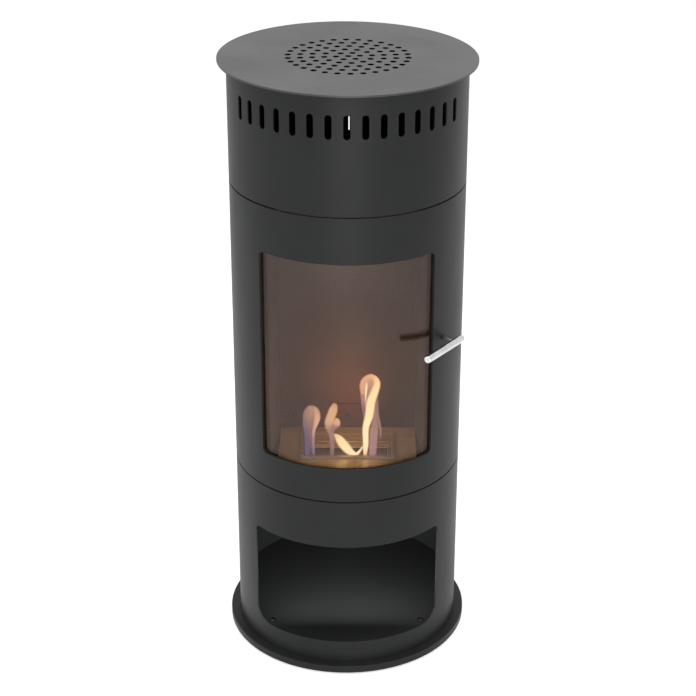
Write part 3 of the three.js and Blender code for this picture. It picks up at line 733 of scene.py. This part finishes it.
def make_lid_ring():
    inner, top = PLATE_R - LID_RING_WIDTH, UPPER_Z[1]
    bottom = top - LID_RING_THICKNESS
    profile = [(inner, bottom), (PLATE_R, bottom), (PLATE_R, top), (inner, top), (inner, bottom)]
    dress(turned("lid_seat", profile, FINE_EDGE), INSIDE_SHADE_PAINT, "paint", "column", "lid_ring")


make_upper_drum()
make_lid()
make_lid_ring()

# ------------------------------------------------------------------ rear shell and door


def make_rear():
    sheet = bent_sheet("rear_wall", [band(REAR_FROM, 360 - REAR_FROM, *DOOR_Z)], BODY_R, SKIN, SKIN_EDGE)
    dress(sheet, PAINT, "paint", "column", "rear_shell")


def door_fold():
    """The folded edge on the free side of the door."""
    low = (-SKIN, -(INNER_R + FOLD_ROOT), DOOR_Z[0] + FOLD_MARGIN)
    high = (0, -(INNER_R - FOLD_DEPTH), DOOR_Z[1] - FOLD_MARGIN)
    bm = bmesh.new()
    bmesh.ops.create_cube(bm, size=1)
    bmesh.ops.scale(bm, verts=bm.verts, vec=tuple(b - a for a, b in zip(low, high)))
    bmesh.ops.translate(bm, verts=bm.verts, vec=tuple((a + b) / 2 for a, b in zip(low, high)))
    softened(bm, FINE_EDGE)
    return finished(rotated(bm, DOOR_HALF), "door_fold")


def make_door(window):
    skin = bent_sheet("door_skin", [band(-DOOR_HALF, DOOR_HALF, *DOOR_Z), window], BODY_R, SKIN, SKIN_EDGE)
    dress(joined("door_skin", skin, door_fold()), PAINT, "paint", "door", "door_shell")


def make_window(window):
    """The rope seal around the window and the glass behind it."""
    half = WINDOW_HALF + arc(SEAL_WIDTH)
    outline = band(-half, half, WINDOW_Z[0] - SEAL_WIDTH, WINDOW_Z[1] + SEAL_WIDTH)
    seal = bent_sheet("rope_seal", [outline, window], PLATE_R, SEAL_THICKNESS, GLASS_EDGE)
    dress(seal, ROPE, "rope", "door", "glass_seal")
    outline = band(-GLASS_HALF, GLASS_HALF, *GLASS_Z)
    glass = bent_sheet("window_glass", [outline], GLASS_R, GLASS_THICKNESS, GLASS_EDGE)
    dress(glass, GLASS, "glazing", "door", "door_glass")


def clamp(side, strip_outline, foot_outline):
    """One angle that holds the glass: a strip over its edge, and a foot that stands on the door's skin."""
    strip = bent_sheet("clamp", [strip_outline], CLAMP_R, CLAMP_THICKNESS, FINE_EDGE)
    foot = bent_sheet("clamp_foot", [foot_outline], PLATE_R, PLATE_R - CLAMP_IN, FINE_EDGE)
    dress(joined(f"clamp_strip_{side}", strip, foot), TARNISHED, "zinc", "door", f"glass_clamp_{side}")


def make_clamps():
    start = GLASS_HALF - arc(CLAMP_LAP)
    end = GLASS_HALF + arc(CLAMP_FOOT)
    foot_start = end - arc(CLAMP_THICKNESS)
    z0, z1 = GLASS_Z[0] + CLAMP_LAP + CLAMP_END_GAP, GLASS_Z[1] - CLAMP_LAP - CLAMP_END_GAP
    for side, sign in (("left", -1), ("right", 1)):
        clamp(side, band(*sorted((sign * start, sign * end)), z0, z1),
              band(*sorted((sign * foot_start, sign * end)), z0, z1))
    width = CLAMP_LAP + CLAMP_FOOT
    for side, z0, foot in (("bottom", GLASS_Z[0] - CLAMP_FOOT, 0),
                           ("top", GLASS_Z[1] - CLAMP_LAP, width - CLAMP_THICKNESS)):
        clamp(side, band(-start, start, z0, z0 + width),
              band(-start, start, z0 + foot, z0 + foot + CLAMP_THICKNESS))


make_rear()
window_opening = curved_opening(WINDOW_HALF, *WINDOW_Z, WINDOW_CORNER, WINDOW_CORNER)
make_door(window_opening)
make_window(window_opening)
make_clamps()

# ------------------------------------------------------------------ handle


def make_handle_bar():
    """A round bar along x with rounded ends, turned to its azimuth."""
    x0, x1 = HANDLE_ENDS
    steps = 8
    shoulder = HANDLE_R - HANDLE_DOME
    profile = [(0.0, x0), (shoulder, x0)]
    for i in range(1, steps + 1):
        a = math.pi / 2 * i / steps
        profile.append((shoulder + HANDLE_DOME * math.sin(a), x0 + HANDLE_DOME * (1 - math.cos(a))))
    profile += [(r, x0 + x1 - x) for r, x in reversed(profile)]
    y = -(BODY_R + HANDLE_STANDOFF)

    def place(r, x, angle):
        return x, y + r * math.cos(angle), HANDLE_Z + r * math.sin(angle)

    bar = finished(rotated(spun(profile, BAR_SIDES, place), HANDLE_AZIMUTH), "handle_rod")
    dress(bar, CHROME, "polished", "door", "handle_bar")


def make_handle_post():
    """The short round post between the door and the bar."""
    start = BODY_R + FIT
    end = BODY_R + HANDLE_STANDOFF - HANDLE_R - FIT
    profile = [(0, start), (POST_R, start), (POST_R, end), (0, end)]

    def place(r, out, angle):
        return r * math.cos(angle), -out, HANDLE_Z + r * math.sin(angle)

    bm = spun(profile, POST_SIDES, place)
    softened(bm, SKIN_EDGE)
    post = finished(rotated(bm, HANDLE_AZIMUTH), "handle_foot")
    dress(post, SATIN, "polished", "door", "handle_post")


make_handle_bar()
make_handle_post()

# ------------------------------------------------------------------ firebox and burner


def make_firebox():
    """The solids of the firebox and the burner with their edges rounded."""
    for node, material, slot, soft in (
            ("firebox_back_panel", LINING, "lining", FINE_EDGE),
            ("firebox_left_panel", LINING, "lining", FINE_EDGE),
            ("firebox_right_panel", LINING, "lining", FINE_EDGE),
            ("burner_tray", TRAY, "lining", FINE_EDGE),
            ("burner_box", STEEL, "stainless", BURNER_EDGE),
            ("burner_grille", GRILLE, "stainless", FINE_EDGE),
            ("burner_cover", STEEL, "stainless", BURNER_EDGE)):
        dress(softened_copy(f"{node}_soft", node, soft), material, slot, "column", node)
    slide = softened_copy("slide_plate", "flame_slide", BURNER_EDGE)
    dress(slide, POLISHED, "polished", "slide", "flame_slide")


def make_panel_screw():
    z = TRAY_Z + TRAY_HEIGHT + PANEL_SCREW_ABOVE_TRAY
    screw = screw_piece("panel_screw_head", (0.0, FIREBOX_BACK - FIT, z), (0, -1, 0), PANEL_SCREW_LENGTH)
    dress(screw, TARNISHED, "zinc", "column", "back_panel_screw")


def repaint_inner_nodes():
    """Materials of the nodes that keep their CAD shape."""
    for material, *nodes in (
            (INSIDE_SHADE_PAINT, "divider_plate", "smoke_plate"),
            (WOOL, "burner_wool"),
            (ZINC, "hinge_plate_bottom", "hinge_plate_top", "strike_plate", "handle_screw", "catch_bracket"),
            (FERRITE, "catch_magnet"),
            (BRASS, "hinge_pin_bottom", "hinge_pin_top")):
        for node in nodes:
            repaint(node, material)


make_firebox()
make_panel_screw()
repaint_inner_nodes()

# ------------------------------------------------------------------ flames

FLAME_Y = -29.5         # over the middle of the burner's mouth
THINNEST = 0.1          # least half width of a flame
SHELLS = ((1.0, 0.0), (0.84, 0.4), (0.66, 1.0))     # share of the flame's width, and how much it is core


def flame_material(name, colours, density, strength=1.6):
    """Glowing gas. Colour and density run from the root of the flame to its tip, with upright streaks; the
    core is denser and the mantle around it redder."""
    s = Shader(name)
    streak = s.noise(1.0, 3, 0.6, stretch=(260, 260, 26))
    along = s.maths("ADD", s.value("along"), s.maths("MULTIPLY", s.maths("SUBTRACT", streak, 0.5), 0.2))
    glow = s.ramp(along, *colours)
    rim = s.mix(1.0, glow, (0.92, 0.62, 0.5), "MULTIPLY")
    body = s.maths("ADD", s.maths("MULTIPLY", s.value("core"), 0.8), 0.2)
    thick = s.maths("MULTIPLY", s.ramp(along, *density), s.ramp(streak, (0.3, 0.75), (0.65, 1.0)))
    bsdf = s.principled((0, 0, 0), 1.0, Specular_IOR_Level=0.0, Emission_Strength=strength)
    s.link(s.mix(s.value("core"), rim, glow), bsdf.inputs["Emission Color"])
    s.link(s.maths("MULTIPLY", body, thick), bsdf.inputs["Alpha"])
    return s.material


FIRE = flame_material(
    "flame_yellow",
    ((0.0, (0.8, 0.6, 0.3)), (0.1, (1.0, 0.98, 0.62)), (0.3, (1.0, 0.96, 0.58)), (0.5, (1.0, 0.86, 0.46)),
     (0.6, (0.85, 0.52, 0.28)), (0.85, (0.74, 0.43, 0.25)), (1.0, (0.35, 0.2, 0.3))),
    ((0.0, 0.7), (0.1, 1.0), (0.52, 0.9), (0.65, 0.6), (0.85, 0.55), (1.0, 0.1)))
PALE_FIRE = flame_material(
    "flame_pale",
    ((0.0, (0.26, 0.18, 0.24)), (0.35, (0.38, 0.25, 0.22)), (0.5, (0.66, 0.45, 0.25)),
     (0.75, (0.74, 0.5, 0.27)), (1.0, (0.62, 0.34, 0.18))),
    ((0.0, 0.25), (0.35, 0.4), (0.5, 0.7), (0.8, 0.75), (1.0, 0.3)))
BLUE_FIRE = flame_material(
    "flame_blue",
    ((0.0, (0.09, 0.09, 0.3)), (0.15, (0.11, 0.1, 0.24)), (0.32, (0.3, 0.22, 0.22)),
     (0.45, (0.44, 0.3, 0.22)), (0.65, (0.78, 0.5, 0.31)), (0.82, (0.6, 0.4, 0.34)),
     (1.0, (0.18, 0.14, 0.3))),
    ((0.0, 0.55), (0.2, 0.36), (0.45, 0.34), (0.68, 0.6), (0.82, 0.5), (1.0, 0.3)))
VEIL_FIRE = flame_material(
    "flame_veil",
    ((0.0, (0.4, 0.24, 0.3)), (0.5, (0.42, 0.27, 0.28)), (1.0, (0.5, 0.32, 0.24))),
    ((0.0, 0.42), (0.5, 0.36), (1.0, 0.15)))
SHEET_FIRE = flame_material(
    "flame_sheet",
    ((0.0, (0.22, 0.15, 0.22)), (0.45, (0.52, 0.31, 0.2)), (1.0, (0.8, 0.5, 0.32))),
    ((0.0, 0.1), (0.45, 0.45), (0.9, 0.7), (1.0, 0.3)), 1.5)


def through(stations):
    """A smooth line through the stations, with as many numbers per point as they have."""
    steps = 6
    points = [stations[0], *stations, stations[-1]]
    line = []
    for a, b, c, d in zip(points, points[1:], points[2:], points[3:]):
        for t in (i / steps for i in range(steps)):
            weights = (-t + 2 * t * t - t ** 3, 2 - 5 * t * t + 3 * t ** 3,
                       t + 4 * t * t - 3 * t ** 3, t ** 3 - t * t)
            line.append([sum(w * p[k] for w, p in zip(weights, (a, b, c, d))) / 2 for k in range(len(a))])
    return line + [list(stations[-1])]


def flame(name, material, stations, y=FLAME_Y, reach_of_ramp=1.0, flat=0.55):
    """A ribbon of fire along stations (x, z, half width), from root to tip: a core inside a mantle. It goes
    through a share reach_of_ramp of its material."""
    bm = bmesh.new()
    along = bm.verts.layers.float.new("along")
    core = bm.verts.layers.float.new("core")
    line = through(stations)
    last = len(line) - 1
    for share, mark in SHELLS:
        rings = []
        for k, (x, z, half) in enumerate(line):
            half = max(half, THINNEST)
            dx = line[min(k + 1, last)][0] - line[max(k - 1, 0)][0]
            dz = line[min(k + 1, last)][1] - line[max(k - 1, 0)][1]
            reach = half * share / math.hypot(dx, dz)
            ring = []
            for i in range(FLAME_SIDES):
                a = 2 * math.pi * i / FLAME_SIDES
                across, deep = math.cos(a) * reach, math.sin(a) * half * share * flat
                ring.append(bm.verts.new((x + dz * across, y + deep, z - dx * across)))
                ring[-1][along] = reach_of_ramp * k / last
                ring[-1][core] = mark
            rings.append(ring)
        bridged(bm, rings, FLAME_SIDES)
        bm.faces.new(rings[0][::-1])
        bm.faces.new(rings[-1])
    bmesh.ops.recalc_face_normals(bm, faces=bm.faces)
    piece = finished(bm, name)
    piece.data.materials.append(material)
    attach(piece, "column")
    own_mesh(piece)


def make_right_flames():
    flame("flame_tall", FIRE,
          [(29.5, 320, 3), (30, 331, 4.6), (30.5, 347, 5.4), (30.5, 372, 6.2), (36, 396, 8.2),
           (38.8, 421, 8.8), (46.5, 446, 7.2), (48.5, 457, 6), (43.5, 466, 4.8), (35, 467, 4.8),
           (28, 461, 5.6), (25, 450, 6.2), (26, 435, 4.8), (28.5, 418, 2.8), (29.5, 403, 0.8)])
    flame("flame_tall_streak", FIRE,
          [(31.5, 460, 0.8), (31.2, 451, 2), (30.5, 441, 1.8), (29.5, 424, 0.7)], -34, 0.5)
    flame("flame_tall_sheet", SHEET_FIRE,
          [(31, 405, 2), (33.5, 425, 7), (36, 446, 12.5), (38, 461, 12), (38, 471, 3)], -27)
    flame("flame_tall_stream", VEIL_FIRE,
          [(25, 436, 4), (24.5, 424, 2.8), (25.5, 410, 1.8), (27.5, 394, 0.8)], -33)
    flame("flame_tall_veil", VEIL_FIRE,
          [(42, 321, 7.5), (43, 345, 8.4), (44.5, 366, 8.6), (46.5, 388, 5.6), (48.5, 407, 3.8),
           (50, 424, 1.6)], -27)
    flame("flame_wisp", VEIL_FIRE, [(56, 352, 0.6), (55, 368, 1.8), (52.5, 384, 2), (49.5, 405, 0.5)], -25)


def make_middle_flames():
    flame("flame_middle", PALE_FIRE,
          [(-25.5, 321, 4.2), (-25.5, 340, 4.8), (-26, 358, 6), (-30, 373, 8.4), (-29.5, 384, 9.4),
           (-27, 394, 8.8), (-24, 404, 8.2), (-22, 412, 6.6), (-21.5, 418, 3.4)])
    flame("flame_middle_bud", PALE_FIRE,
          [(-27, 366, 1), (-22, 375, 6.5), (-17.5, 383, 7), (-17, 391, 3)], -33, 0.8)
    flame("flame_low", FIRE,
          [(25.5, 339, 0.9), (21.7, 331, 2.2), (15, 324, 3.6), (6.7, 326.5, 6.4), (-0.8, 334, 8.8),
           (-8.3, 344, 9), (-15, 354, 6.8), (-21.5, 361, 1.6)], -31, 0.6)


def make_left_flames():
    flame("flame_left", BLUE_FIRE,
          [(-67.5, 320, 4), (-67.8, 344, 4.6), (-69, 364, 5), (-70, 385, 5.2), (-68.5, 400, 5.6),
           (-61, 409, 6), (-52, 404, 6), (-50, 391, 5.8), (-52.5, 379, 4.4), (-56, 366, 3),
           (-57, 349, 3), (-56.5, 322, 2.8)])
    flame("flame_left_sheet", SHEET_FIRE,
          [(-62.5, 325, 5), (-62, 358, 7), (-61, 382, 9), (-60, 399, 9), (-59.5, 409, 3)], -27, 0.6)


make_right_flames()
make_middle_flames()
make_left_flames()

# ------------------------------------------------------------------ floor, world, lights and camera

FLOOR_REACH = 40.0      # from the middle of the floor to its sides
FLOOR_GLOW = 0.55       # added to the floor where it is seen
ROOM_LIGHT = 0.45       # strength of the world as a light


def floor_material():
    """Pale floor that shows the soft shadow of the column. The camera, and what mirrors or lets through the
    floor, see it a little brighter, as the white background is."""
    s = Shader("studio_floor")
    base = s.ramp(s.noise(3, 2), (0.3, (0.86, 0.86, 0.86)), (0.7, (0.88, 0.88, 0.88)))
    diffuse = s.add("ShaderNodeBsdfDiffuse")
    s.link(base, diffuse.inputs["Color"])
    glow = s.add("ShaderNodeEmission")
    path = s.add("ShaderNodeLightPath")
    seen = s.maths("MAXIMUM", path.outputs["Is Camera Ray"], path.outputs["Is Glossy Ray"])
    seen = s.maths("MAXIMUM", seen, path.outputs["Is Transmission Ray"])
    s.link(s.maths("MULTIPLY", seen, FLOOR_GLOW), glow.inputs["Strength"])
    both = s.add("ShaderNodeAddShader")
    s.link(diffuse.outputs[0], both.inputs[0])
    s.link(glow.outputs[0], both.inputs[1])
    s.link(both.outputs[0], s.out.inputs["Surface"])
    return s.material


def make_floor():
    bm = bmesh.new()
    bmesh.ops.create_grid(bm, x_segments=1, y_segments=1, size=FLOOR_REACH)
    mesh = bpy.data.meshes.new("studio_floor")
    bm.to_mesh(mesh)
    bm.free()
    mesh.materials.append(floor_material())
    obj = bpy.data.objects.new("studio_floor", mesh)
    bpy.context.scene.collection.objects.link(obj)


def make_world():
    """White where the camera, a mirror or a clear piece sees it, and a soft grey light for all else."""
    world = bpy.data.worlds.new("studio")
    bpy.context.scene.world = world
    world.use_nodes = True
    tree = world.node_tree
    tree.nodes.clear()
    out = tree.nodes.new("ShaderNodeOutputWorld")
    background = tree.nodes.new("ShaderNodeBackground")
    path = tree.nodes.new("ShaderNodeLightPath")
    background.inputs["Color"].default_value = (1, 1, 1, 1)

    def larger(a, b):
        node = tree.nodes.new("ShaderNodeMath")
        node.operation = "MAXIMUM"
        for socket, value in zip(node.inputs, (a, b)):
            if isinstance(value, float):
                socket.default_value = value
            else:
                tree.links.new(value, socket)
        return node.outputs[0]

    seen = larger(path.outputs["Is Camera Ray"], path.outputs["Is Transmission Ray"])
    seen = larger(seen, path.outputs["Is Glossy Ray"])
    tree.links.new(larger(seen, ROOM_LIGHT), background.inputs["Strength"])
    tree.links.new(background.outputs[0], out.inputs["Surface"])


def area_light(name, location, target, width, height, watts):
    light = bpy.data.lights.new(name, "AREA")
    light.energy = watts
    light.shape = "RECTANGLE"
    light.size = width
    light.size_y = height
    obj = bpy.data.objects.new(name, light)
    obj.location = location
    obj.rotation_euler = (Vector(target) - Vector(location)).to_track_quat("-Z", "Y").to_euler()
    bpy.context.scene.collection.objects.link(obj)
    return obj


def hide_light(obj):
    """Leaves a light's effect, but neither the camera nor a mirror sees the light itself."""
    obj.visible_camera = False
    obj.visible_glossy = False


def fire_light():
    """The light that the flames give to the firebox."""
    light = bpy.data.lights.new("fire_light", "POINT")
    light.energy = 0.35
    light.color = (1.0, 0.48, 0.17)
    light.shadow_soft_size = 0.03
    obj = bpy.data.objects.new("fire_light", light)
    obj.location = (0.005, -0.02, 0.405)
    hide_light(obj)
    bpy.context.scene.collection.objects.link(obj)


def make_lights():
    area_light("top_softbox", (0.1, 0.05, 2.9), (0, 0.05, 0.9), 2.2, 2.2, 45)
    area_light("left_softbox", (-2.4, -1.4, 1.5), (0, 0, 0.55), 0.9, 1.7, 9)
    area_light("right_softbox", (1.9, -1.9, 1.4), (0, 0, 0.5), 0.8, 1.7, 4.5)
    area_light("front_strip", (0.42, -3.0, 0.28), (0, 0, 0.8), 0.16, 0.5, 1.5)
    area_light("low_fill", (0.0, -2.6, 0.5), (0, 0, 0.1), 1.2, 0.5, 15)
    hide_light(area_light("shelf_fill", (0, -0.14, 0.15), (0, 0.18, 0.14), 0.24, 0.08, 0.75))
    fire_light()


def make_camera():
    """The photograph is a crop taken from beside its centre, with the camera turned a little about its axis:
    hence the roll and the small sideways shift."""
    distance, height, azimuth = 2.6954, 1.7845, 0.5
    yaw, pitch, roll = 2.424, 25.364, 1.118
    focal_px, photo_px = 1809.3, 696
    data = bpy.data.cameras.new("camera")
    data.sensor_width = 36.0
    data.sensor_fit = "HORIZONTAL"
    data.lens = focal_px / photo_px * data.sensor_width
    data.shift_x = -0.099
    obj = bpy.data.objects.new("camera", data)
    obj.location = (*polar(azimuth, distance), height)
    heading = Matrix.Rotation(math.radians(azimuth - yaw), 3, "Z")
    tilt = Matrix.Rotation(math.radians(90 - pitch), 3, "X")
    obj.rotation_euler = (heading @ tilt @ Matrix.Rotation(math.radians(roll), 3, "Z")).to_euler()
    bpy.context.scene.collection.objects.link(obj)
    bpy.context.scene.camera = obj


make_floor()
make_world()
make_lights()
make_camera()

scene = bpy.context.scene
scene.view_settings.view_transform = "Standard"
